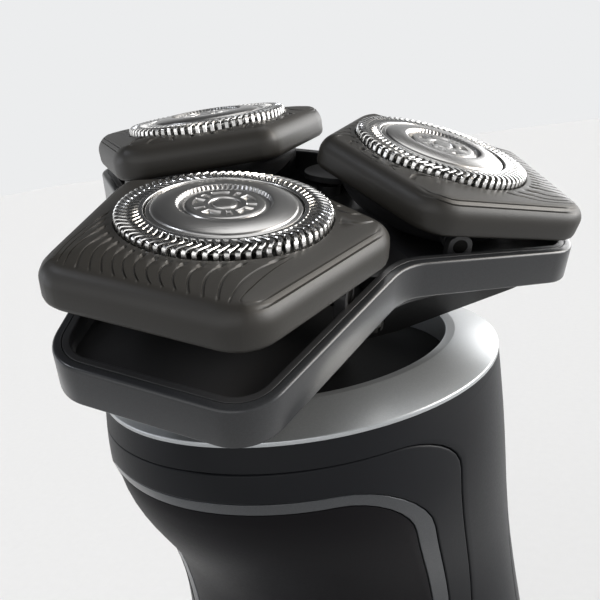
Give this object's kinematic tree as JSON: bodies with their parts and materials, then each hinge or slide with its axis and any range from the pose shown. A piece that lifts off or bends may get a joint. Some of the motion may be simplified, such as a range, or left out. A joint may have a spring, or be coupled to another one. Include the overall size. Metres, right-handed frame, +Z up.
{
  "type": "electric shaver",
  "caption": "Cordless rotary shaver: tilting heads with slotted steel caps on a swivelling three-lobed shaving unit, on an upright waisted handle with a button.",
  "frame": {"origin": "centre of the flat base of the handle", "axes": "+Z up the handle towards the shaving unit, -Y to the handle's front, +X to its right"},
  "size_m": [0.0664, 0.0625, 0.153],
  "materials": {
    "plate_black": "fine-textured satin",
    "cap_steel": "polished",
    "disc_steel": "spun satin",
    "blade_steel": "ground",
    "inner_black": "moulded",
    "unit_black": "moulded satin",
    "pin_steel": "turned",
    "pin_black": "black oxide",
    "gear_white": "moulded",
    "band_grey": "metallic satin paint",
    "seal_rubber": "moulded",
    "collar_silver": "metallic satin paint",
    "handle_charcoal": "soft-touch satin",
    "grip_rubber": "moulded",
    "trim_grey": "metallic satin paint",
    "fascia_black": "gloss",
    "lens_clear": "polished",
    "button_grey": "metallic satin paint",
    "contact_brass": "plated",
    "motor_steel": "zinc plated",
    "cell_wrap": "shrink wrap",
    "board_green": "solder mask"
  },
  "bodies": {
    "handle": {"neck_housing": "handle_charcoal", "front_shell": "handle_charcoal", "rear_shell": "handle_charcoal", "rear_grip": "grip_rubber", "fascia_trim": "trim_grey", "indicator_lens": "lens_clear", "front_fascia": "fascia_black", "base_cap": "handle_charcoal", "charge_contacts": "contact_brass", "base_screws": "pin_steel", "chassis": "inner_black", "motor_can": "motor_steel", "battery_cell": "cell_wrap", "circuit_board": "board_green", "tact_switch": "inner_black", "neck_mount": "unit_black", "neck_gasket": "seal_rubber", "collar_ring": "collar_silver", "shaft_seal": "seal_rubber"},
    "motor": {"drive_shaft": "pin_steel", "motor_rotor": "motor_steel"},
    "button": {"power_button": "button_grey"},
    "gimbal": {"gimbal_ring": "pin_steel", "pitch_pins": "pin_steel"},
    "unit": {"roll_pins": "pin_steel", "carrier_band": "band_grey", "carrier_tray": "unit_black", "unit_base": "unit_black", "unit_screws": "pin_steel"},
    "pinion": {"drive_pinion": "gear_white"},
    "gear_front": {"driven_gear_front": "gear_white", "drive_spindle_front": "pin_steel"},
    "head_front": {"skin_plate_front": "plate_black", "shaving_cap_front": "cap_steel", "cap_disc_front": "disc_steel", "retainer_front": "inner_black", "head_base_front": "unit_black", "pivot_pins_front": "pin_black"},
    "blades_front": {"cutter_front": "blade_steel"},
    "gear_right": {"driven_gear_right": "gear_white", "drive_spindle_right": "pin_steel"},
    "head_right": {"skin_plate_right": "plate_black", "shaving_cap_right": "cap_steel", "cap_disc_right": "disc_steel", "retainer_right": "inner_black", "head_base_right": "unit_black", "pivot_pins_right": "pin_black"},
    "blades_right": {"cutter_right": "blade_steel"},
    "gear_left": {"driven_gear_left": "gear_white", "drive_spindle_left": "pin_steel"},
    "head_left": {"skin_plate_left": "plate_black", "shaving_cap_left": "cap_steel", "cap_disc_left": "disc_steel", "retainer_left": "inner_black", "head_base_left": "unit_black", "pivot_pins_left": "pin_black"},
    "blades_left": {"cutter_left": "blade_steel"}
  },
  "joints": [
    {"name": "gimbal_pitch", "type": "hinge", "parent": "handle", "child": "gimbal", "pos_m": [0, 0, 0.128], "axis": [1, 0, 0], "range_deg": [-20.7, 0.5], "stiffness_Nm_per_rad": 0.2},
    {"name": "gimbal_roll", "type": "hinge", "parent": "gimbal", "child": "unit", "pos_m": [0, 0, 0.128], "axis": [0, 0.9755, 0.2198], "range_deg": [-29.5, 0.5], "stiffness_Nm_per_rad": 0.2},
    {"name": "motor_spin", "type": "hinge", "parent": "handle", "child": "motor", "pos_m": [0, 0, 0.128], "axis": [0, 0, 1], "continuous": true},
    {"name": "pinion_spin", "type": "hinge", "parent": "unit", "child": "pinion", "pos_m": [0, 0, 0.128], "axis": [0.2504, -0.2128, 0.9445], "continuous": true},
    {"name": "button_press", "type": "slide", "parent": "handle", "child": "button", "axis": [0, 1, 0], "range_m": [0, 0.0007], "stiffness_N_per_m": 400},
    {"name": "head_front_tilt", "type": "hinge", "parent": "unit", "child": "head_front", "pos_m": [0.003, -0.01914, 0.1356], "axis": [0.9681, 0.055, -0.2443], "range_deg": [-8, 17], "stiffness_Nm_per_rad": 0.03},
    {"name": "gear_front_spin", "type": "hinge", "parent": "unit", "child": "gear_front", "pos_m": [0.003, -0.01914, 0.1356], "axis": [0.2504, -0.2128, 0.9445], "continuous": true},
    {"name": "cutter_front_spin", "type": "hinge", "parent": "head_front", "child": "blades_front", "pos_m": [0.003, -0.01914, 0.1356], "axis": [0.25, -0.1615, 0.9547], "continuous": true},
    {"name": "head_right_tilt", "type": "hinge", "parent": "unit", "child": "head_right", "pos_m": [0.01726, 0.00655, 0.13761], "axis": [-0.4841, 0.8173, 0.3125], "range_deg": [-24.5, 0.5], "stiffness_Nm_per_rad": 0.03},
    {"name": "gear_right_spin", "type": "hinge", "parent": "unit", "child": "gear_right", "pos_m": [0.01726, 0.00655, 0.13761], "axis": [0.2504, -0.2128, 0.9445], "continuous": true},
    {"name": "cutter_right_spin", "type": "hinge", "parent": "head_right", "child": "blades_right", "pos_m": [0.01726, 0.00655, 0.13761], "axis": [0.4392, -0.082, 0.8946], "continuous": true},
    {"name": "head_left_tilt", "type": "hinge", "parent": "unit", "child": "head_left", "pos_m": [-0.01125, 0.00493, 0.1448], "axis": [-0.4841, -0.8724, -0.0683], "range_deg": [-24.5, 0.5], "stiffness_Nm_per_rad": 0.03},
    {"name": "gear_left_spin", "type": "hinge", "parent": "unit", "child": "gear_left", "pos_m": [-0.01125, 0.00493, 0.1448], "axis": [0.2504, -0.2128, 0.9445], "continuous": true},
    {"name": "cutter_left_spin", "type": "hinge", "parent": "head_left", "child": "blades_left", "pos_m": [-0.01125, 0.00493, 0.1448], "axis": [0.0477, -0.1042, 0.9934], "continuous": true}
  ],
  "couplings": [
    {"joint": "pinion_spin", "follows": "motor_spin", "ratio": 1},
    {"joint": "gear_front_spin", "follows": "motor_spin", "ratio": -0.6},
    {"joint": "cutter_front_spin", "follows": "motor_spin", "ratio": -0.6},
    {"joint": "gear_right_spin", "follows": "motor_spin", "ratio": -0.6},
    {"joint": "cutter_right_spin", "follows": "motor_spin", "ratio": -0.6},
    {"joint": "gear_left_spin", "follows": "motor_spin", "ratio": -0.6},
    {"joint": "cutter_left_spin", "follows": "motor_spin", "ratio": -0.6}
  ]
}
